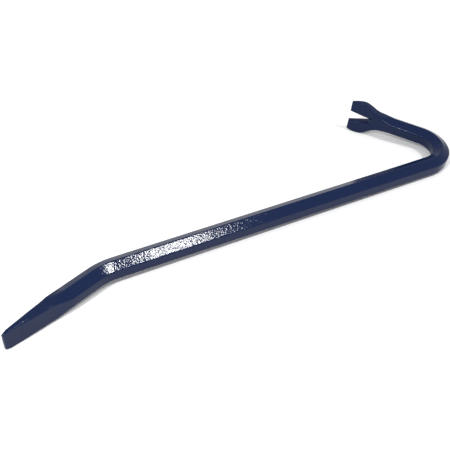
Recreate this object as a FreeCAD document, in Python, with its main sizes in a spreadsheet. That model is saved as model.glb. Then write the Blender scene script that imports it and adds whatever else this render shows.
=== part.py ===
import FreeCAD, Part
import Sketcher
import math
import os

# Gooseneck pry bar, forged in one piece from hexagonal bar.
#
# The bar lies on its side. In the bar's own axes +X runs along the shank from the heel bend to
# the gooseneck, +Y is the side that the hook turns to, and +Z is square to both bends. At the end
# the whole bar is laid on a floor at Z = 0, where it rests on the chisel, the gooseneck and the
# claw. Every zone of the forging is a solid of its own and meets its neighbours face to face.

Vector = FreeCAD.Vector
Rotation = FreeCAD.Rotation
Placement = FreeCAD.Placement

# name: (value in mm or degrees, meaning)
SIZES = {
    "across_flats": (16.0, "hexagonal bar, flat to flat"),
    "corner_flat": (0.75, "width of the flat that breaks each corner of the hexagon"),
    "shank_length": (321.8, "straight shank between the two bends"),
    "heel_radius": (56.0, "centreline radius of the heel bend"),
    "heel_angle": (20.4, "turn of the heel bend"),
    "gooseneck_radius": (26.0, "centreline radius of the gooseneck"),
    "gooseneck_angle": (126.0, "turn of the gooseneck"),
    "chisel_neck_length": (24.0, "hexagonal bar between the heel bend and the taper"),
    "chisel_taper_length": (20.0, "from hexagon to flat blade"),
    "chisel_flare_length": (22.0, "where the blade widens"),
    "chisel_edge_length": (14.0, "widest part of the blade"),
    "chisel_clip_length": (4.3, "clipped corners at the cutting edge"),
    "chisel_root_thickness": (11.2, "blade thickness where the taper ends"),
    "chisel_root_width": (18.2, "blade width where the taper ends"),
    "chisel_waist_thickness": (6.2, "blade thickness where it is first at full width"),
    "chisel_width": (20.6, "full width of the blade"),
    "chisel_clip_thickness": (2.9, "blade thickness at the clipped corners"),
    "chisel_tip_thickness": (1.8, "thickness of the cutting edge"),
    "chisel_tip_width": (17.0, "width of the cutting edge"),
    "chisel_curl": (1.2, "how far the cutting edge lies inward of the neck's centreline"),
    "arm_length": (30.0, "hexagonal bar between the gooseneck and the claw's neck"),
    "claw_neck_length": (13.0, "from hexagon to flat claw"),
    "claw_flare_length": (21.0, "where the claw widens"),
    "claw_tip_length": (10.4, "from the widest place to the tips"),
    "claw_root_thickness": (12.2, "thickness where the neck ends"),
    "claw_root_width": (17.8, "width where the neck ends"),
    "claw_width": (36.6, "widest place of the claw"),
    "claw_tip_width": (33.4, "width across both tips"),
    "claw_tip_thickness": (2.6, "thickness of the tips"),
    "claw_root_break": (2.6, "broken edge where the neck ends"),
    "claw_curl": (5.3, "how far the tips lie inward of the arm's centreline"),
    "slot_depth": (22.0, "nail slot, from the tips to its root"),
    "slot_mouth": (10.6, "width of the nail slot at the tips"),
    "slot_root_radius": (2.2, "round root of the nail slot"),
    "slot_bevel": (1.5, "bevel along the nail slot on the inside of the claw"),
    "edge_break": (1.2, "broken edges of the claw and the blade"),
}

LARGEST_BREAK = 0.3     # share of a thickness that a broken edge may take
BREAK_BULGE = 0.3       # how near a broken edge stays to the sharp corner
ALONG_X = Rotation(Vector(1, 1, 1), 120)

document = FreeCAD.newDocument("pry_bar")
sheet = document.addObject("Spreadsheet::Sheet", "sizes")
for row, (alias, (value, meaning)) in enumerate(SIZES.items(), start=1):
    sheet.set("A%d" % row, meaning)
    sheet.set("B%d" % row, str(value))
    sheet.setAlias("B%d" % row, alias)
document.recompute()


def size(alias):
    """The value of one driving dimension."""
    return float(getattr(sheet, alias))


def cell(expression):
    """An expression in which every size's name points to its cell in the sheet."""
    words = []
    word = ""
    for letter in expression + " ":
        if letter.isalnum() or letter == "_":
            word += letter
            continue
        words.append("sizes." + word if word in SIZES else word)
        words.append(letter)
        word = ""
    return "".join(words).strip()


# ---------------------------------------------------------------- sections of the bar

def stock_section():
    """Quarter outline of the hexagonal bar: end of the flat, end of the corner, ridge."""
    rise = "corner_flat * tan(30) / 2"
    return [
        ("across_flats / 2", "across_flats / 2 * tan(30) - corner_flat / 2 / cos(30)"),
        ("across_flats / 2 - corner_flat / 2", "across_flats / 2 * tan(30) + " + rise),
        ("corner_flat / 2", "across_flats / 2 / cos(30) - " + rise),
    ]


def flat_section(thickness, width, edge="edge_break"):
    """Quarter outline of a flattened place, with its edge broken in two steps."""
    half = "(%s) / 2" % thickness
    wide = "(%s) / 2" % width
    cut = "min(%s; %g * (%s))" % (edge, LARGEST_BREAK, thickness)
    return [
        (half, "%s - %s" % (wide, cut)),
        ("%s - %g * %s" % (half, BREAK_BULGE, cut), "%s - %g * %s" % (wide, BREAK_BULGE, cut)),
        ("%s - %s" % (half, cut), wide),
    ]


def origin_feature(body, role):
    return next(f for f in body.Origin.OriginFeatures if f.Role == role)


def add_corner(sketch, name, line, corner, expressions, guess):
    """Hold one corner of an outline at its two distances from the sketch's origin."""
    kinds = ("DistanceX", "DistanceY")
    for axis, kind in enumerate(kinds):
        ends = (-1, 1, line, corner) if guess[axis] > 0 else (line, corner, -1, 1)
        index = sketch.addConstraint(Sketcher.Constraint(kind, *ends, abs(guess[axis])))
        label = "%s_%s" % (name, "xy"[axis])
        sketch.renameConstraint(index, label)
        sketch.setExpression("Constraints." + label, cell(expressions[axis]))


def add_outline(sketch, corners):
    """A closed outline of straight lines whose corners are held by expressions."""
    count = len(corners)
    points = [Vector(guess[0], guess[1], 0) for _, guess in corners]
    for index in range(count):
        sketch.addGeometry(Part.LineSegment(points[index], points[(index + 1) % count]), False)
    for index in range(count):
        following = (index + 1) % count
        sketch.addConstraint(Sketcher.Constraint("Coincident", index, 2, following, 1))
    for index, (expressions, guess) in enumerate(corners):
        add_corner(sketch, "corner%d" % index, index, 1, expressions, guess)


def ring(quarter):
    """All twelve corners of a section from its quarter outline, mirrored about both axes."""
    corners = []
    turns = [(1, 1, False), (-1, 1, True), (-1, -1, False), (1, -1, True)]
    start = [(6 - index, 2 + index) for index in range(3)]
    for sign_x, sign_y, backwards in turns:
        order = [2, 1, 0] if backwards else [0, 1, 2]
        for index in order:
            guess = (sign_x * start[index][0], sign_y * start[index][1])
            corners.append((quarter[index], guess))
    return corners


def section_sketch(body, name, quarter, plane, across="0", along="0"):
    """A section of the bar on one of the body's planes, moved across and along it."""
    sketch = body.newObject("Sketcher::SketchObject", name)
    sketch.AttachmentSupport = [(origin_feature(body, plane), "")]
    sketch.MapMode = "FlatFace"
    sketch.setExpression("AttachmentOffset.Base.x", cell("1 mm * (%s)" % across))
    sketch.setExpression("AttachmentOffset.Base.z", cell("1 mm * (%s)" % along))
    add_outline(sketch, ring(quarter))
    return sketch


# ---------------------------------------------------------------- ways of making a zone

def new_body(name):
    body = document.addObject("PartDesign::Body", name)
    body.Label = name
    return body


def straight_bar(name, length):
    """Hexagonal bar along the body's X axis."""
    body = new_body(name)
    profile = section_sketch(body, name + "_section", stock_section(), "YZ_Plane")
    pad = body.newObject("PartDesign::Pad", name + "_pad")
    pad.Profile = profile
    pad.setExpression("Length", cell("1 mm * " + length))
    body.Tip = pad
    return body


def bent_bar(name, radius, angle):
    """Hexagonal bar turned about the body's Z axis, from the XZ plane towards +Y."""
    body = new_body(name)
    profile = section_sketch(body, name + "_section", stock_section(), "XZ_Plane", across=radius)
    bend = body.newObject("PartDesign::Revolution", name + "_bend")
    bend.Profile = profile
    bend.ReferenceAxis = (origin_feature(body, "Z_Axis"), [""])
    bend.setExpression("Angle", cell("1 deg * " + angle))
    body.Tip = bend
    return body


def forged_zone(name, stations, ruled):
    """A zone lofted along the body's X axis through stations of (outline, across, along)."""
    body = new_body(name)
    sections = []
    for index, (quarter, across, along) in enumerate(stations):
        label = "%s_section%d" % (name, index)
        sections.append(section_sketch(body, label, quarter, "YZ_Plane", across, along))
    loft = body.newObject("PartDesign::AdditiveLoft", name + "_loft")
    loft.Profile = sections[0]
    loft.Sections = sections[1:]
    loft.Ruled = ruled
    body.Tip = loft
    return body


def apply_cut(feature):
    """Recompute a cutting feature, and see that it does cut."""
    document.recompute()
    if not feature.Shape.Volume < feature.BaseFeature.Shape.Volume:
        raise RuntimeError(feature.Label + " cuts nothing")


def cut_away(body, name, sketch):
    """Cut a sketch of the XZ plane through the whole thickness of a body."""
    pocket = body.newObject("PartDesign::Pocket", name)
    pocket.Profile = sketch
    pocket.Midplane = True
    pocket.setExpression("Length", cell("1 mm * (2 * across_flats + 4 * claw_curl)"))
    apply_cut(pocket)


def side_sketch(body, name):
    """An empty sketch on the body's XZ plane: its x runs along the claw, its y across it."""
    sketch = body.newObject("Sketcher::SketchObject", name)
    sketch.AttachmentSupport = [(origin_feature(body, "XZ_Plane"), "")]
    sketch.MapMode = "FlatFace"
    return sketch


# ---------------------------------------------------------------- shank and bends

shank = straight_bar("shank", "shank_length")
heel_bend = bent_bar("heel_bend", "heel_radius", "heel_angle")
gooseneck_bend = bent_bar("gooseneck_bend", "gooseneck_radius", "gooseneck_angle")
chisel_neck = straight_bar("chisel_neck", "chisel_neck_length")
hook_arm = straight_bar("hook_arm", "arm_length")

# ---------------------------------------------------------------- chisel end
# Every place is measured along the blade from the end of the chisel's neck.

taper_end = "chisel_taper_length"
flare_end = taper_end + " + chisel_flare_length"
clip_start = flare_end + " + chisel_edge_length"
blade_end = clip_start + " + chisel_clip_length"
blade_root = flat_section("chisel_root_thickness", "chisel_root_width")


def blade_curl(place):
    """Offset from the neck's centreline at a place past the taper."""
    return "chisel_curl * ((%s) - %s) / ((%s) - %s)" % (place, taper_end, blade_end, taper_end)


chisel_taper = forged_zone("chisel_taper", [
    (stock_section(), "0", "0"),
    (blade_root, "0", taper_end),
], ruled=True)

chisel_blade = forged_zone("chisel_blade", [
    (blade_root, "0", taper_end),
    (flat_section("chisel_waist_thickness", "chisel_width"), blade_curl(flare_end), flare_end),
    (flat_section("chisel_clip_thickness", "chisel_width"), blade_curl(clip_start), clip_start),
    (flat_section("chisel_tip_thickness", "chisel_tip_width"), "chisel_curl", blade_end),
], ruled=True)

# ---------------------------------------------------------------- claw end
# Every place is measured along the arm from the end of the hexagonal bar. The claw thins and
# curls evenly from its neck to its tips, and its width swells along half a cosine wave.

neck_end = "claw_neck_length"
widest = neck_end + " + claw_flare_length"
claw_end = widest + " + claw_tip_length"
slot_start = "%s - slot_depth + slot_root_radius" % claw_end
TIP_STEP = 0.5          # middle station of the tips, as a share of their length


def thinned(place):
    """Thickness at a place past the neck."""
    share = "((%s) - %s) / (claw_flare_length + claw_tip_length)" % (place, neck_end)
    return "claw_root_thickness - (claw_root_thickness - claw_tip_thickness) * " + share


def curled(place):
    """Offset from the arm's centreline at a place past the neck."""
    return "claw_curl * ((%s) - %s) / (claw_flare_length + claw_tip_length)" % (place, neck_end)


def flared(place):
    """Width at a place between the neck and the widest place."""
    turn = "180 * ((%s) - %s) / claw_flare_length" % (place, neck_end)
    return "claw_root_width + (claw_width - claw_root_width) * (1 - cos(%s)) / 2" % turn


def claw_station(place, width):
    return (flat_section(thinned(place), width), curled(place), place)


def between(first, last, share):
    """A place part of the way from one place to another."""
    return "(%s) + %g * ((%s) - (%s))" % (first, share, last, first)


def inside_face(place):
    """Height of the claw's inside face over the arm's centreline."""
    return "((%s) / 2 + %s)" % (thinned(place), curled(place))


claw_root = (flat_section("claw_root_thickness", "claw_root_width", "claw_root_break"), "0", neck_end)
slot_station = claw_station(slot_start, flared(slot_start))

claw_neck = forged_zone("claw_neck", [(stock_section(), "0", "0"), claw_root], ruled=True)

palm_places = [between(neck_end, slot_start, share) for share in (0.25, 0.5, 0.75)]
claw_palm = forged_zone(
    "claw_palm",
    [claw_root] + [claw_station(place, flared(place)) for place in palm_places] + [slot_station],
    ruled=False,
)
slot_root = side_sketch(claw_palm, "slot_root")
slot_root.addGeometry(Part.Circle(Vector(20, 0, 0), Vector(0, 0, 1), 1), False)
for constraint, label, expression in (
    (Sketcher.Constraint("PointOnObject", 0, 3, -1), "", ""),
    (Sketcher.Constraint("DistanceX", -1, 1, 0, 3, 20), "centre", slot_start),
    (Sketcher.Constraint("Radius", 0, 1), "radius", "slot_root_radius"),
):
    constraint_index = slot_root.addConstraint(constraint)
    if label:
        slot_root.renameConstraint(constraint_index, label)
        slot_root.setExpression("Constraints." + label, cell(expression))
cut_away(claw_palm, "slot_root_cut", slot_root)

# The bevel goes round the slot's root as a cone of 45 degrees, drawn as half of its section. It
# and the bevels of the tines overshoot the inside face by their own width.
countersink = claw_palm.newObject("Sketcher::SketchObject", "slot_root_countersink")
countersink.AttachmentSupport = [(origin_feature(claw_palm, "XY_Plane"), "")]
countersink.MapMode = "FlatFace"
face_height = inside_face(slot_start)
overcut = "slot_bevel"
reach = "slot_root_radius + slot_bevel + " + overcut
add_outline(countersink, [
    ((slot_start, "%s - slot_bevel - slot_root_radius" % face_height), (24, 3)),
    (("%s - (%s)" % (slot_start, reach), "%s + %s" % (face_height, overcut)), (19, 8)),
    ((slot_start, "%s + %s" % (face_height, overcut)), (24, 8)),
])
cone = claw_palm.newObject("PartDesign::Groove", "slot_root_cone")
cone.Profile = countersink
cone.ReferenceAxis = (countersink, ["Edge3"])
cone.Angle = 360
apply_cut(cone)

tip_middle = between(widest, claw_end, TIP_STEP)
tip_width = "claw_width - (claw_width - claw_tip_width) * %g" % TIP_STEP ** 2
tine_stations = [
    slot_station,
    claw_station(widest, "claw_width"),
    claw_station(tip_middle, tip_width),
    claw_station(claw_end, "claw_tip_width"),
]
OVERRUN = 2.0           # mm that a cutting outline runs past the tine


def slot_half_width(place):
    """Half the slot's width at a place past the centre of its round root."""
    run = "(slot_mouth / 2 - slot_root_radius) / (slot_depth - slot_root_radius)"
    return "(slot_root_radius + %s * ((%s) - (%s)))" % (run, place, slot_start)


def bevel_outline(body, name, side, place):
    """Section of the slot's bevel: a wedge that opens through the inside face."""
    face = inside_face(place)
    wall = slot_half_width(place)
    sketch = body.newObject("Sketcher::SketchObject", name)
    sketch.AttachmentSupport = [(origin_feature(body, "YZ_Plane"), "")]
    sketch.MapMode = "FlatFace"
    sketch.setExpression("AttachmentOffset.Base.z", cell("1 mm * (%s)" % place))
    add_outline(sketch, [
        ((face + " - slot_bevel", wall), (5, 4 * side)),
        ((face + " + " + overcut, "%s + slot_bevel + %s" % (wall, overcut)), (8, 7 * side)),
        ((face + " + " + overcut, wall), (8, 4 * side)),
    ])
    return sketch


def make_tine(name, side):
    """One tine: the claw past the slot's root without the slot and the other tine."""
    body = forged_zone(name, tine_stations, ruled=False)
    first = "%s - %g" % (slot_start, OVERRUN)
    last = "%s + %g" % (claw_end, OVERRUN)
    outline = side_sketch(body, name + "_outline")
    add_outline(outline, [
        ((first, slot_half_width(first)), (20, side)),
        ((last, slot_half_width(last)), (60, 5 * side)),
        ((last, "claw_width"), (60, -40 * side)),
        ((first, "claw_width"), (20, -40 * side)),
    ])
    cut_away(body, name + "_cut", outline)
    wedge = body.newObject("PartDesign::SubtractiveLoft", name + "_bevel")
    wedge.Profile = bevel_outline(body, name + "_bevel_start", side, first)
    wedge.Sections = [bevel_outline(body, name + "_bevel_end", side, last)]
    wedge.Ruled = True
    apply_cut(wedge)
    return body


claw_tine_upper = make_tine("claw_tine_upper", 1)
claw_tine_lower = make_tine("claw_tine_lower", -1)

# ---------------------------------------------------------------- placing the zones

def about_z(degrees):
    return Rotation(Vector(0, 0, 1), degrees)


def shifted(placement, length):
    """A placement moved forward along its own X axis."""
    return placement.multiply(Placement(Vector(length, 0, 0), Rotation()))


heel_centre = Vector(0, -size("heel_radius"), 0)
gooseneck_centre = Vector(size("shank_length"), size("gooseneck_radius"), 0)
heel_turn = Placement(heel_centre, about_z(90))
gooseneck_turn = Placement(gooseneck_centre, about_z(-90))


def end_of_bend(turn, radius, angle):
    """Frame at the end of a bend: X onward along the bar, Y towards the inside of the bend."""
    swung = turn.multiply(Placement(Vector(), about_z(angle)))
    return swung.multiply(Placement(Vector(radius, 0, 0), about_z(90)))


chisel_start = end_of_bend(heel_turn, size("heel_radius"), size("heel_angle"))
arm_start = end_of_bend(gooseneck_turn, size("gooseneck_radius"), size("gooseneck_angle"))
blade_frame = shifted(chisel_start, size("chisel_neck_length"))
claw_frame = shifted(arm_start, size("arm_length"))

ZONES = [
    (shank, Placement()),
    (heel_bend, heel_turn),
    (chisel_neck, chisel_start),
    (chisel_taper, blade_frame),
    (chisel_blade, blade_frame),
    (gooseneck_bend, gooseneck_turn),
    (hook_arm, arm_start),
    (claw_neck, claw_frame),
    (claw_palm, claw_frame),
    (claw_tine_upper, claw_frame),
    (claw_tine_lower, claw_frame),
]

document.recompute()
for zone, placement in ZONES:
    zone.Placement = placement

# ---------------------------------------------------------------- laying the bar on the floor

FEET = [
    [chisel_neck, chisel_taper, chisel_blade],
    [heel_bend, shank, gooseneck_bend],
    [hook_arm, claw_neck, claw_palm, claw_tine_upper, claw_tine_lower],
]
MESH_ERROR = 0.01       # mm
SAME_PLANE = 1e-9


def surface_points(zones):
    return [point for zone in zones for point in zone.Shape.tessellate(MESH_ERROR)[0]]


def resting_turn():
    """The turn that brings the lowest point of each of the three feet to one level."""
    feet = [surface_points(zones) for zones in FEET]
    down = Vector(0, 0, -1)
    level = False
    while not level:
        first, second, third = [max(points, key=down.dot) for points in feet]
        square = (second - first).cross(third - first).normalize()
        if square.z > 0:
            square = square.negative()
        level = (square - down).Length < SAME_PLANE
        down = square
    up = down.negative()
    across = up.cross(Vector(1, 0, 0)).normalize()
    return Rotation(across.cross(up), across, up, "ZXY").inverted()


turn = Placement(Vector(), resting_turn())
laid = Part.Compound([zone.Shape for zone, _ in ZONES])
laid.Placement = turn.multiply(laid.Placement)
extent = laid.optimalBoundingBox(False)
middle = Vector((extent.XMin + extent.XMax) / 2, (extent.YMin + extent.YMax) / 2, extent.ZMin)
rest = Placement(middle.negative(), Rotation()).multiply(turn)
for zone, placement in ZONES:
    zone.Placement = rest.multiply(placement)
document.recompute()

# ---------------------------------------------------------------- checks and export

for item in document.Objects:
    if "Invalid" in item.State or "Error" in item.State:
        raise RuntimeError("%s: %s" % (item.Name, item.State))
for zone, _ in ZONES:
    if zone.Shape.isNull() or not zone.Shape.isValid() or len(zone.Shape.Solids) != 1:
        raise RuntimeError("%s is not one valid solid" % zone.Label)

os.makedirs("parts", exist_ok=True)
for zone, _ in ZONES:
    zone.Shape.exportStep("parts/%s.step" % zone.Label)
print("extent in mm: %.2f x %.2f x %.2f" % (extent.XLength, extent.YLength, extent.ZLength))
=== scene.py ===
import math

import bmesh
import bpy
from mathutils import Matrix, Vector


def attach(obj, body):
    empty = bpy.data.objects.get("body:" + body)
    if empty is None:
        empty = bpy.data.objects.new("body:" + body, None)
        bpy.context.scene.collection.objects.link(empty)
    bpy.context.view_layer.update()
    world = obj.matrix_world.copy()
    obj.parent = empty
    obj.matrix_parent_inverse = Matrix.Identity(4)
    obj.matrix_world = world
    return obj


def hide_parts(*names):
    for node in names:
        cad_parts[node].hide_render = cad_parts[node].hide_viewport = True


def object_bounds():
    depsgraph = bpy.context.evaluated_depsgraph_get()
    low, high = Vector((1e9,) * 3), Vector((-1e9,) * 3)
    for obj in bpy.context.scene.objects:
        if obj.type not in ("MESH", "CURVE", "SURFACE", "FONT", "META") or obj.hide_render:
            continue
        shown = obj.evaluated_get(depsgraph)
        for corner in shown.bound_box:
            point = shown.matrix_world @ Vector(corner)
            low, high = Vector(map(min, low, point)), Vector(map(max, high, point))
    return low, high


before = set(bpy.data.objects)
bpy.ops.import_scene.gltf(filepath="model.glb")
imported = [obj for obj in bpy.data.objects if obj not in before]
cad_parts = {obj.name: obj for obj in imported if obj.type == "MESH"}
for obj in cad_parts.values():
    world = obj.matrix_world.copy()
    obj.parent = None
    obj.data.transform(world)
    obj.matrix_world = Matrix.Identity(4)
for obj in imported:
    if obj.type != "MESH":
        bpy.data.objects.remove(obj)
cad_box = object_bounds()

# The pry bar is one forging. Its skin is modelled in one piece, from the chisel to the claw, and is
# then cut into the named zones, so that no joint shows between them.

MM = 0.001

# sizes of the forging, in millimetres and degrees
ACROSS_FLATS = 16.0
CORNER_RADIUS = 1.4
HEEL_RADIUS = 56.0
HEEL_ANGLE = 20.4
GOOSENECK_RADIUS = 26.0
GOOSENECK_ANGLE = 126.0
CHISEL_NECK = 24.0
ARM = 30.0

CHISEL_TAPER_END = 20.0
CHISEL_WIDE = 42.0
CHISEL_CLIP = 56.0
CHISEL_END = 60.3

CLAW_NECK_END = 13.0
CLAW_WIDEST = 34.0
CLAW_END = 44.38
CLAW_ROOT_THICKNESS = 11.4
CLAW_ROOT_SHIFT = 0.4
CLAW_ROOT_WIDTH = 17.8
CLAW_WIDTH = 36.54
CLAW_TIP_WIDTH = 33.4
CLAW_TIP_THICKNESS = 2.6
CLAW_CURL = 5.3
SLOT_DEPTH = 22.0
SLOT_MOUTH = 10.6
SLOT_ROOT = 2.2
SLOT_START = CLAW_END - SLOT_DEPTH + SLOT_ROOT

STRAIGHT_STEP = 4.0
BEND_STEP = 1.2
CORNER_STEPS = 6
WELD = 0.02
SAME_PLACE = 6           # decimals of a metre at which two corners count as one


def mix(first, last, share):
    return first + (last - first) * share


def eased(share):
    """Share from 0 to 1 along half a cosine wave."""
    return (1 - math.cos(math.pi * share)) / 2


# ---------------------------------------------------------------- frames of the zones

def shank_frame():
    """Frame of the straight shank, from the heel bend to the gooseneck, and its length in mm."""
    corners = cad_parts["shank"].data.vertices
    points = {tuple(round(c, SAME_PLACE) for c in corner.co) for corner in corners}
    points = [Vector(point) for point in points]
    middle = sum((point.x for point in points)) / len(points)
    heel_end = [point for point in points if point.x < middle]
    hook_end = [point for point in points if point.x > middle]
    start = sum(heel_end, Vector()) / len(heel_end)
    stop = sum(hook_end, Vector()) / len(hook_end)
    ridge = sorted(heel_end, key=lambda point: point.z)[-2:]
    along = (stop - start).normalized()
    across = ((ridge[0] + ridge[1]) / 2 - start).cross(along).normalized()
    up = along.cross(across)
    turn = Matrix((along, across, up)).transposed().to_4x4()
    return Matrix.Translation(start) @ turn, (stop - start).length / MM


def moved(x, y=0.0):
    return Matrix.Translation((x * MM, y * MM, 0))


def turned(degrees):
    return Matrix.Rotation(math.radians(degrees), 4, "Z")


def after_bend(start, radius, angle):
    return start @ moved(0, radius) @ turned(angle) @ moved(0, -radius)


shank_start, SHANK_LENGTH = shank_frame()
heel_start = shank_start @ turned(180)
neck_start = after_bend(heel_start, HEEL_RADIUS, HEEL_ANGLE)
chisel_start = neck_start @ moved(CHISEL_NECK)
gooseneck_start = shank_start @ moved(SHANK_LENGTH)
arm_start = after_bend(gooseneck_start, GOOSENECK_RADIUS, GOOSENECK_ANGLE)
claw_start = arm_start @ moved(ARM)

REACH = 24.0             # no part of the bar is farther than this from its centreline
PAST_TIP = 1.0           # the end zones reach this far past the tips


def straight_zone(first, last, side=0):
    """Test for places along the X axis of a frame, on one side of it or on both."""
    def holds(point):
        within = first < point.x < last and abs(point.y) < REACH and abs(point.z) < REACH
        return within and (side == 0 or point.z * side > 0)
    return holds


def bent_zone(radius, angle):
    """Test for places along a bend that starts at the origin of a frame."""
    def holds(point):
        turn = math.degrees(math.atan2(point.x, radius - point.y))
        spread = abs(math.hypot(point.x, radius - point.y) - radius)
        return 0 < turn < angle and spread < REACH and abs(point.z) < REACH
    return holds


ZONES = {
    "shank": (shank_start, straight_zone(0, SHANK_LENGTH)),
    "heel_bend": (heel_start, bent_zone(HEEL_RADIUS, HEEL_ANGLE)),
    "chisel_neck": (neck_start, straight_zone(0, CHISEL_NECK)),
    "chisel_taper": (chisel_start, straight_zone(0, CHISEL_TAPER_END)),
    "chisel_blade": (chisel_start, straight_zone(CHISEL_TAPER_END, CHISEL_END + PAST_TIP)),
    "gooseneck_bend": (gooseneck_start, bent_zone(GOOSENECK_RADIUS, GOOSENECK_ANGLE)),
    "hook_arm": (arm_start, straight_zone(0, ARM)),
    "claw_neck": (claw_start, straight_zone(0, CLAW_NECK_END)),
    "claw_palm": (claw_start, straight_zone(CLAW_NECK_END, SLOT_START)),
    "claw_tine_upper": (claw_start, straight_zone(SLOT_START, CLAW_END + PAST_TIP, 1)),
    "claw_tine_lower": (claw_start, straight_zone(SLOT_START, CLAW_END + PAST_TIP, -1)),
}


# ---------------------------------------------------------------- camera, floor and light

AIM = Vector((-0.0293, -0.0309, -0.0004))      # from the middle of the bar's box
AZIMUTH = 28.01
ELEVATION = 40.83
ROLL = -0.91
DISTANCE = 0.5919
LENS = 56.0
SENSOR_WIDTH = 36.0
NEAREST = 0.01

FLOOR_SIZE = 30.0
PAPER_WHITE = (0.94, 0.94, 0.94, 1)
PAPER_ROUGHNESS = 0.9
PAPER_SPECULAR = 0.1

BACKDROP_WHITE = (1, 1, 1, 1)
BACKDROP_STRENGTH = 0.73
SOFTBOXES = (            # name, place, the place it is aimed at, width, height, power
    ("softbox", (1.10, -1.72, 3.44), (-0.07, -0.03, 0), 0.20, 0.36, 55),
    ("fill", (-0.90, -0.59, 1.17), (0.175, 0.055, 0.018), 0.11, 0.11, 12),
)


def make_camera():
    low, high = (Vector(corner) for corner in cad_box)
    data = bpy.data.cameras.new("camera")
    data.lens = LENS
    data.sensor_width = SENSOR_WIDTH
    data.clip_start = NEAREST
    camera = bpy.data.objects.new("camera", data)
    bpy.context.scene.collection.objects.link(camera)
    turn = Matrix.Rotation(math.radians(-AZIMUTH), 4, "Z")
    turn = turn @ Matrix.Rotation(math.radians(90 - ELEVATION), 4, "X")
    turn = turn @ Matrix.Rotation(math.radians(-ROLL), 4, "Z")
    place = Matrix.Translation((low + high) / 2 + AIM)
    camera.matrix_world = place @ turn @ Matrix.Translation((0, 0, DISTANCE))
    bpy.context.scene.camera = camera


def make_floor():
    bpy.ops.mesh.primitive_plane_add(size=FLOOR_SIZE)
    floor = bpy.context.object
    floor.name = "floor"
    paper = bpy.data.materials.new("white_paper")
    paper.use_nodes = True
    shader = paper.node_tree.nodes["Principled BSDF"]
    shader.inputs["Base Color"].default_value = PAPER_WHITE
    shader.inputs["Roughness"].default_value = PAPER_ROUGHNESS
    shader.inputs["Specular IOR Level"].default_value = PAPER_SPECULAR
    floor.data.materials.append(paper)


def make_softbox(name, place, aim, width, height, power):
    data = bpy.data.lights.new(name, "AREA")
    data.shape = "RECTANGLE"
    data.size = width
    data.size_y = height
    data.energy = power
    light = bpy.data.objects.new(name, data)
    bpy.context.scene.collection.objects.link(light)
    away = (Vector(place) - Vector(aim)).normalized()
    turn = away.to_track_quat("Z", "Y").to_matrix().to_4x4()
    light.matrix_world = Matrix.Translation(place) @ turn


def make_light():
    world = bpy.data.worlds.new("studio")
    world.use_nodes = True
    backdrop = world.node_tree.nodes["Background"]
    backdrop.inputs["Color"].default_value = BACKDROP_WHITE
    backdrop.inputs["Strength"].default_value = BACKDROP_STRENGTH
    bpy.context.scene.world = world
    for softbox in SOFTBOXES:
        make_softbox(*softbox)
    bpy.context.scene.view_settings.view_transform = "Standard"


make_camera()
make_floor()
make_light()


# ---------------------------------------------------------------- enamel

NAVY = (0.0050, 0.0128, 0.049, 1)
ENAMEL_ROUGHNESS = 0.08
ENAMEL_IOR = 1.25
PEEL_SCALE = 680         # cells of the noise in one metre
PEEL_DETAIL = 1.5
PEEL_DEPTH = 0.10


def link(tree, source, output, target, entry):
    tree.links.new(source.outputs[output], target.inputs[entry])


def make_enamel():
    """Gloss navy enamel, sprayed, with the fine skin of orange peel."""
    paint = bpy.data.materials.new("navy_enamel")
    paint.use_nodes = True
    tree = paint.node_tree
    shader = tree.nodes["Principled BSDF"]
    shader.inputs["Base Color"].default_value = NAVY
    shader.inputs["Roughness"].default_value = ENAMEL_ROUGHNESS
    shader.inputs["IOR"].default_value = ENAMEL_IOR
    place = tree.nodes.new("ShaderNodeTexCoord")
    peel = tree.nodes.new("ShaderNodeTexNoise")
    peel.inputs["Scale"].default_value = PEEL_SCALE
    peel.inputs["Detail"].default_value = PEEL_DETAIL
    link(tree, place, "Object", peel, "Vector")
    bump = tree.nodes.new("ShaderNodeBump")
    bump.inputs["Strength"].default_value = 1
    bump.inputs["Distance"].default_value = PEEL_DEPTH * MM
    link(tree, peel, "Fac", bump, "Height")
    link(tree, bump, "Normal", shader, "Normal")
    return paint


enamel = make_enamel()


# ---------------------------------------------------------------- hexagonal bar

class Tree:
    """A Geometry Nodes tree that is written node by node."""

    def __init__(self, name, sizes):
        self.tree = bpy.data.node_groups.new(name, "GeometryNodeTree")
        for size, kind in sizes:
            self.tree.interface.new_socket(size, in_out="INPUT", socket_type=kind)
        self.tree.interface.new_socket(
            "Geometry", in_out="OUTPUT", socket_type="NodeSocketGeometry"
        )
        self.sizes = self.tree.nodes.new("NodeGroupInput").outputs

    def feed(self, node, entry, value):
        """Give an input a value, or join it to a socket or to a node's first output."""
        if isinstance(value, bpy.types.Node):
            value = value.outputs[0]
        if isinstance(value, bpy.types.NodeSocket):
            self.tree.links.new(value, node.inputs[entry])
        else:
            node.inputs[entry].default_value = value

    def node(self, kind, **entries):
        made = self.tree.nodes.new(kind)
        for entry, value in entries.items():
            self.feed(made, entry.replace("_", " ").title(), value)
        return made

    def maths(self, operation, first, second=0.0):
        made = self.tree.nodes.new("ShaderNodeMath")
        made.operation = operation
        self.feed(made, 0, first)
        self.feed(made, 1, second)
        return made


BAR_SIZES = (
    ("Bent", "NodeSocketBool"),
    ("Length", "NodeSocketFloat"),
    ("Bend Radius", "NodeSocketFloat"),
    ("Steps", "NodeSocketInt"),
    ("Across Flats", "NodeSocketFloat"),
    ("Corner Radius", "NodeSocketFloat"),
    ("Corner Steps", "NodeSocketInt"),
    ("Material", "NodeSocketMaterial"),
)


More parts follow.
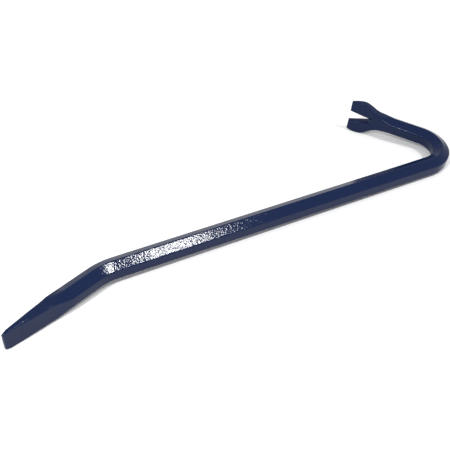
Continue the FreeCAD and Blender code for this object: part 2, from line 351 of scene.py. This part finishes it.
def make_bar_tree():
    """Hexagonal bar along +X from the origin, ridges up and down, rolled round towards +Y if bent."""
    make = Tree("hexagonal_bar", BAR_SIZES)
    size = make.sizes

    end = make.node("ShaderNodeCombineXYZ", x=size["Length"])
    line = make.node("GeometryNodeCurvePrimitiveLine", end=end)
    points = make.maths("ADD", size["Steps"], 1)
    path = make.node("GeometryNodeResampleCurve", curve=line, count=points)
    upright = make.node("GeometryNodeSetCurveNormal", curve=path)
    upright.mode = "Z_UP"

    ridge = make.maths("DIVIDE", size["Across Flats"], 2 * math.cos(math.pi / 6))
    hexagon = make.node("GeometryNodeCurvePrimitiveCircle", resolution=6, radius=ridge)
    level = make.node("GeometryNodeTransform", geometry=hexagon, rotation=(0, 0, math.pi / 6))
    section = make.node("GeometryNodeFilletCurve", curve=level, radius=size["Corner Radius"])
    section.mode = "POLY"
    make.feed(section, "Count", size["Corner Steps"])
    bar = make.node("GeometryNodeCurveToMesh", curve=upright, profile_curve=section)

    place = make.node("ShaderNodeSeparateXYZ", vector=make.node("GeometryNodeInputPosition"))
    turn = make.maths("DIVIDE", place.outputs["X"], size["Bend Radius"])
    swing = make.maths("SUBTRACT", size["Bend Radius"], place.outputs["Y"])
    along = make.maths("MULTIPLY", swing, make.maths("SINE", turn))
    back = make.maths("MULTIPLY", swing, make.maths("COSINE", turn))
    across = make.maths("SUBTRACT", size["Bend Radius"], back)
    round_place = make.node("ShaderNodeCombineXYZ", x=along, y=across, z=place.outputs["Z"])
    rolled = make.node("GeometryNodeSetPosition", geometry=bar, position=round_place)

    shape = make.tree.nodes.new("GeometryNodeSwitch")
    shape.input_type = "GEOMETRY"
    make.feed(shape, "Switch", size["Bent"])
    make.feed(shape, "False", bar)
    make.feed(shape, "True", rolled)
    real = make.node("GeometryNodeRealizeInstances", geometry=shape)
    painted = make.node("GeometryNodeSetMaterial", geometry=real, material=size["Material"])
    leave = make.tree.nodes.new("NodeGroupOutput")
    make.feed(leave, "Geometry", painted)
    return make.tree


def plain_mesh(thing):
    """The mesh of an object with its modifiers applied."""
    depsgraph = bpy.context.evaluated_depsgraph_get()
    return bpy.data.meshes.new_from_object(thing.evaluated_get(depsgraph))


def new_object(name, mesh):
    thing = bpy.data.objects.new(name, mesh)
    bpy.context.scene.collection.objects.link(thing)
    return thing


def discard(thing):
    bpy.data.objects.remove(thing)


def hex_bar(tree, start, length, radius=None):
    """Mesh of one stretch of hexagonal bar, in its place."""
    bent = radius is not None
    step = BEND_STEP if bent else STRAIGHT_STEP
    values = {
        "Bent": bent,
        "Length": length * MM,
        "Bend Radius": (radius if bent else length) * MM,
        "Steps": round(length / step),
        "Across Flats": ACROSS_FLATS * MM,
        "Corner Radius": CORNER_RADIUS * MM,
        "Corner Steps": CORNER_STEPS,
        "Material": enamel,
    }
    thing = new_object("bar", bpy.data.meshes.new("bar"))
    modifier = thing.modifiers.new("bar", "NODES")
    modifier.node_group = tree
    for item in tree.interface.items_tree:
        if item.in_out == "INPUT":
            modifier[item.identifier] = values[item.name]
    mesh = plain_mesh(thing)
    mesh.transform(start)
    discard(thing)
    return mesh


def bend_length(radius, angle):
    return radius * math.radians(angle)


def bar_meshes():
    tree = make_bar_tree()
    heel = bend_length(HEEL_RADIUS, HEEL_ANGLE)
    gooseneck = bend_length(GOOSENECK_RADIUS, GOOSENECK_ANGLE)
    return [
        hex_bar(tree, neck_start, CHISEL_NECK),
        hex_bar(tree, heel_start, heel, HEEL_RADIUS),
        hex_bar(tree, shank_start, SHANK_LENGTH),
        hex_bar(tree, gooseneck_start, gooseneck, GOOSENECK_RADIUS),
        hex_bar(tree, arm_start, ARM),
    ]


# ---------------------------------------------------------------- sections of the forged ends
# A section is given by two sharp corners of its first quarter, with the radius of each:
# broad face - corner - slanted facet - corner - narrow face.

# Half of a ridge's round is an arc of 30 degrees, whose tangents meet this far beside the ridge.
SHARP = math.tan(math.radians(15)) * CORNER_RADIUS
HEXAGON = (
    (ACROSS_FLATS / 2, ACROSS_FLATS / 2 * math.tan(math.pi / 6), CORNER_RADIUS),
    (SHARP, (ACROSS_FLATS / 2 - SHARP / 2) / math.cos(math.pi / 6), CORNER_RADIUS),
)

# Two arcs of 45 degrees on an edge cut back by this share of their radius make one arc of 90.
ROUND_SHARE = math.sqrt(2) * math.tan(math.pi / 8)


def rounded(thickness, width, radius):
    """Quarter of a flat section whose edges are rounded."""
    cut = ROUND_SHARE * radius
    return (
        (thickness / 2, width / 2 - cut, radius),
        (thickness / 2 - cut, width / 2, radius),
    )


def blended(first, last, share):
    """Section part of the way between two sections."""
    return tuple(
        tuple(mix(a, b, share) for a, b in zip(corner, other))
        for corner, other in zip(first, last)
    )


def arc_points(corner, radius, before, after, steps):
    """Round a corner between two faces of given normals."""
    centre = corner - (before + after) * (radius / (1 + before.dot(after)))
    turn = before.angle_signed(after)
    points = []
    for step in range(steps + 1):
        normal = before.copy()
        normal.rotate(Matrix.Rotation(-turn * step / steps, 2))
        points.append(centre + normal * radius)
    return points


def ring(section):
    """Points round a whole section, starting at the middle of the upper quarter's broad face."""
    (y, z, radius), (top_y, top_z, top_radius) = section
    slant = Vector((top_z - z, y - top_y)).normalized()
    quarter = arc_points(Vector((y, z)), radius, Vector((1, 0)), slant, CORNER_STEPS)
    quarter += arc_points(Vector((top_y, top_z)), top_radius, slant, Vector((0, 1)),
                          CORNER_STEPS // 2)
    points = []
    for sign_y, sign_z in ((1, 1), (-1, 1), (-1, -1), (1, -1)):
        order = quarter if sign_y == sign_z else reversed(quarter)
        points += [Vector((point.x * sign_y, point.y * sign_z)) for point in order]
    return points


def loft(stations, start):
    """Skin through stations of (place, curl, section), closed at the last one."""
    skin = bmesh.new()
    rings = []
    for place, curl, section in stations:
        row = []
        for point in ring(section):
            corner = start @ (Vector((place, point.x + curl, point.y)) * MM)
            row.append(skin.verts.new(corner))
        rings.append(row)
    count = len(rings[0])
    for row, following in zip(rings, rings[1:]):
        for index in range(count):
            beside = (index + 1) % count
            skin.faces.new((row[index], row[beside], following[beside], following[index]))
    skin.faces.new(rings[-1])
    mesh = bpy.data.meshes.new("forged_end")
    skin.to_mesh(mesh)
    skin.free()
    return mesh


def places(first, last, step):
    """Evenly spaced places after the first, up to the last."""
    count = max(1, round((last - first) / step))
    return [mix(first, last, index / count) for index in range(1, count + 1)]


# ---------------------------------------------------------------- chisel

CHISEL_STEP = 1.0
SIDE_CROWN = 0.12        # swell of the narrow faces
CROWN_PART = 6           # the crown's corners stand a sixth of the thickness off its middle
LARGEST_ROUND = 0.29     # of the thickness
TAPER_EASE = 5.0         # the taper leaves the bar in a soft curve
CHISEL_STATIONS = [      # place, thickness, width, edge radius, shift to the inside of the heel
    (18.0, 11.2, 18.1, 1.2, 0.35),
    (21.5, 10.3, 18.3, 1.5, 0.5),
    (27.0, 9.3, 18.9, 1.7, 0.6),
    (35.0, 7.8, 19.8, 1.9, 0.75),
    (CHISEL_WIDE, 6.2, 20.4, 1.8, 0.9),
    (50.0, 4.3, 20.5, 1.4, 1.0),
    (CHISEL_CLIP, 2.9, 20.4, 0.9, 1.1),
    (CHISEL_END, 1.8, 17.0, 0.6, 1.2),
]


def chisel_section(thickness, width, radius):
    half = thickness / 2
    radius = min(radius, LARGEST_ROUND * thickness)
    return (
        (half, width / 2 - SIDE_CROWN, radius),
        (thickness / CROWN_PART, width / 2, half),
    )


def taper_share(place):
    """Share of the way from the hexagon to the blade's root."""
    length = CHISEL_STATIONS[0][0] - TAPER_EASE / 2
    if place < TAPER_EASE:
        return place ** 2 / (2 * TAPER_EASE * length)
    return (place - TAPER_EASE / 2) / length


def chisel_mesh():
    kink, *root, shift = CHISEL_STATIONS[0]
    root = chisel_section(*root)
    stations = [(0.0, 0.0, HEXAGON)]
    for place in places(0, kink, CHISEL_STEP):
        share = taper_share(place)
        stations.append((place, shift * share, blended(HEXAGON, root, share)))
    for first, last in zip(CHISEL_STATIONS, CHISEL_STATIONS[1:]):
        for place in places(first[0], last[0], CHISEL_STEP):
            share = (place - first[0]) / (last[0] - first[0])
            *values, shift = [mix(a, b, share) for a, b in zip(first[1:], last[1:])]
            stations.append((place, shift, chisel_section(*values)))
    return loft(stations, chisel_start)


# ---------------------------------------------------------------- claw

CLAW_STEP = 0.8

# The radius of the claw's edges goes from EDGE_BREAK at the root to TIP_BREAK at the tips. At the
# root itself it is ROOT_BREAK, and that wider round is gone after a third of the claw.
EDGE_BREAK = 1.2
TIP_BREAK = 0.8
ROOT_BREAK = 3.0
ROOT_FADE = 3


def claw_share(place):
    """Share of the way from the claw's root to its tips."""
    return (place - CLAW_NECK_END) / (CLAW_END - CLAW_NECK_END)


def claw_thickness(place):
    return mix(CLAW_ROOT_THICKNESS, CLAW_TIP_THICKNESS, claw_share(place))


def claw_curl(place):
    return mix(CLAW_ROOT_SHIFT, CLAW_CURL, claw_share(place))


def claw_width(place):
    if place < CLAW_WIDEST:
        share = (place - CLAW_NECK_END) / (CLAW_WIDEST - CLAW_NECK_END)
        return mix(CLAW_ROOT_WIDTH, CLAW_WIDTH, eased(share))
    share = (place - CLAW_WIDEST) / (CLAW_END - CLAW_WIDEST)
    return mix(CLAW_WIDTH, CLAW_TIP_WIDTH, share ** 2)


def inside_face(place):
    return claw_thickness(place) / 2 + claw_curl(place)


def claw_section(place):
    share = claw_share(place)
    radius = mix(EDGE_BREAK, TIP_BREAK, share)
    radius += (ROOT_BREAK - EDGE_BREAK) * max(0.0, 1 - ROOT_FADE * share) ** 2
    return rounded(claw_thickness(place), claw_width(place), radius)


def claw_mesh():
    stations = [(0.0, 0.0, HEXAGON)]
    root = claw_section(CLAW_NECK_END)
    for place in places(0, CLAW_NECK_END, CLAW_STEP):
        share = place / CLAW_NECK_END
        stations.append((place, CLAW_ROOT_SHIFT * share, blended(HEXAGON, root, share)))
    for first, last in ((CLAW_NECK_END, SLOT_START), (SLOT_START, CLAW_END)):
        for place in places(first, last, CLAW_STEP):
            stations.append((place, claw_curl(place), claw_section(place)))
    return loft(stations, claw_start)


SLOT_STEPS = 24          # round the whole root
WALL_STEP = 4.0
OVERRUN = 4.0            # the cutters run this far past the tips
OVERLAP = 1.0            # the bevel cutter's slanted face runs on this far at both its edges
BEVEL_DEPTH = 1.5
BEVEL_WIDTH = 2.3
BEVEL_AT_TIPS = 0.3
LEAST_BEVEL = 0.05


def slot_outline():
    """Places (x, z) round the slot, with the direction out of the slot at each."""
    outline = []
    half = SLOT_MOUTH / 2
    slope = (half - SLOT_ROOT) / (CLAW_END - SLOT_START)
    wall = Vector((-slope, 1)).normalized()
    far = CLAW_END + OVERRUN
    for place in [far] + places(far, SLOT_START, WALL_STEP)[:-1]:
        outline.append((Vector((place, SLOT_ROOT + slope * (place - SLOT_START))), wall))
    for step in range(SLOT_STEPS // 2 + 1):
        angle = math.pi / 2 * (1 + 2 * step / SLOT_STEPS)
        out = Vector((math.cos(angle), math.sin(angle)))
        outline.append((Vector((SLOT_START, 0)) + out * SLOT_ROOT, out))
    mirrored = [(Vector((p.x, -p.y)), Vector((n.x, -n.y))) for p, n in reversed(outline[:-1])]
    return outline + mirrored


def prism(name, lower, upper):
    """Closed cutter between two outlines of the same number of points."""
    skin = bmesh.new()
    rows = []
    for outline in (lower, upper):
        rows.append([skin.verts.new(claw_start @ (point * MM)) for point in outline])
    count = len(lower)
    for index in range(count):
        beside = (index + 1) % count
        skin.faces.new((rows[0][index], rows[0][beside], rows[1][beside], rows[1][index]))
    skin.faces.new(rows[0])
    skin.faces.new(rows[1])
    bmesh.ops.recalc_face_normals(skin, faces=skin.faces)
    mesh = bpy.data.meshes.new(name)
    skin.to_mesh(mesh)
    skin.free()
    mesh.materials.append(enamel)
    return new_object(name, mesh)


def slot_cutter():
    outline = [point for point, _ in slot_outline()]
    sides = [[Vector((p.x, height, p.y)) for p in outline] for height in (-REACH, REACH)]
    return prism("slot_cutter", *sides)


def bevel_cutter():
    """The slot's bevel on the inside face: widest round the root, and fading towards the tips."""
    lower, upper = [], []
    steep = BEVEL_DEPTH / BEVEL_WIDTH
    for point, out in slot_outline():
        fade = mix(1, BEVEL_AT_TIPS, (point.x - SLOT_START) / (CLAW_END - SLOT_START))
        fade = max(LEAST_BEVEL, min(1.0, fade))
        depth, width = BEVEL_DEPTH * fade, BEVEL_WIDTH * fade
        face = inside_face(point.x)
        inner = point - out * OVERLAP
        outer = point + out * (width + OVERLAP)
        lower.append(Vector((inner.x, face - depth - OVERLAP * steep, inner.y)))
        upper.append(Vector((outer.x, face + OVERLAP * steep, outer.y)))
    return prism("bevel_cutter", lower, upper)


# ---------------------------------------------------------------- the whole forging

RIM_RADIUS = 0.5
RIM_ANGLE = 32           # only edges sharper than this are softened
RIM_STEPS = 3


def check_closed(name, skin):
    """Stop unless every edge joins two faces."""
    faulty = sum(1 for edge in skin.edges if not edge.is_manifold)
    if faulty:
        raise RuntimeError("%s has %d edges that don't join two faces" % (name, faulty))


def joined(name, meshes):
    """One closed skin from meshes that share their end sections."""
    skin = bmesh.new()
    for mesh in meshes:
        skin.from_mesh(mesh)
    rims = [vertex for vertex in skin.verts if vertex.is_boundary]
    bmesh.ops.remove_doubles(skin, verts=rims, dist=WELD * MM)
    bmesh.ops.recalc_face_normals(skin, faces=skin.faces)
    check_closed(name, skin)
    for face in skin.faces:
        face.smooth = True
        face.material_index = 0
    whole = bpy.data.meshes.new(name)
    skin.to_mesh(whole)
    skin.free()
    whole.materials.clear()
    whole.materials.append(enamel)
    return new_object(name, whole)


def apply_modifiers(thing):
    mesh = plain_mesh(thing)
    thing.modifiers.clear()
    thing.data = mesh


def cut(thing, cutter):
    modifier = thing.modifiers.new(cutter.name, "BOOLEAN")
    modifier.operation = "DIFFERENCE"
    modifier.solver = "MANIFOLD"
    modifier.object = cutter
    apply_modifiers(thing)
    discard(cutter)


def soften_rims(thing):
    rims = thing.modifiers.new("rims", "BEVEL")
    rims.limit_method = "ANGLE"
    rims.angle_limit = math.radians(RIM_ANGLE)
    rims.width = RIM_RADIUS * MM
    rims.segments = RIM_STEPS
    rims.use_clamp_overlap = True
    shade = thing.modifiers.new("shade", "WEIGHTED_NORMAL")
    shade.keep_sharp = False
    apply_modifiers(thing)


def make_forging():
    forging = joined("forging", bar_meshes() + [chisel_mesh(), claw_mesh()])
    cut(forging, slot_cutter())
    cut(forging, bevel_cutter())
    for polygon in forging.data.polygons:
        polygon.use_smooth = True
    soften_rims(forging)
    return forging


def zone_piece(name, mesh, faces):
    """One zone of the forging as a closed mesh that keeps the forging's shading."""
    normals = mesh.corner_normals
    verts, index_of, rings, shading = [], {}, [], []
    for polygon in faces:
        row = []
        for loop in polygon.loop_indices:
            vertex = mesh.loops[loop].vertex_index
            if vertex not in index_of:
                index_of[vertex] = len(verts)
                verts.append(mesh.vertices[vertex].co.copy())
            row.append(index_of[vertex])
            shading.append(normals[loop].vector.copy())
        rings.append(row)
    piece = bpy.data.meshes.new(name)
    piece.from_pydata(verts, [], rings)
    skin = bmesh.new()
    skin.from_mesh(piece)
    rim = [edge for edge in skin.edges if edge.is_boundary]
    for face in bmesh.ops.holes_fill(skin, edges=rim, sides=0)["faces"]:
        face.normal_update()
    for face in skin.faces:
        face.smooth = True
    skin.to_mesh(piece)
    check_closed(name, skin)
    skin.free()
    for polygon in piece.polygons[len(rings):]:
        shading += [polygon.normal.copy()] * polygon.loop_total
    piece.normals_split_custom_set(shading)
    piece.materials.append(enamel)
    return new_object(name, piece)


def make_pieces(forging):
    mesh = forging.data
    inverses = {name: start.inverted() for name, (start, _) in ZONES.items()}
    found = {name: [] for name in ZONES}
    for polygon in mesh.polygons:
        for name, (_, holds) in ZONES.items():
            if holds((inverses[name] @ polygon.center) / MM):
                found[name].append(polygon)
                break
        else:
            raise RuntimeError("no zone holds %s" % polygon.center)
    for name, faces in found.items():
        piece = zone_piece(name + "_skin", mesh, faces)
        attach(piece, "root")
        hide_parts(name)
    discard(forging)


make_pieces(make_forging())
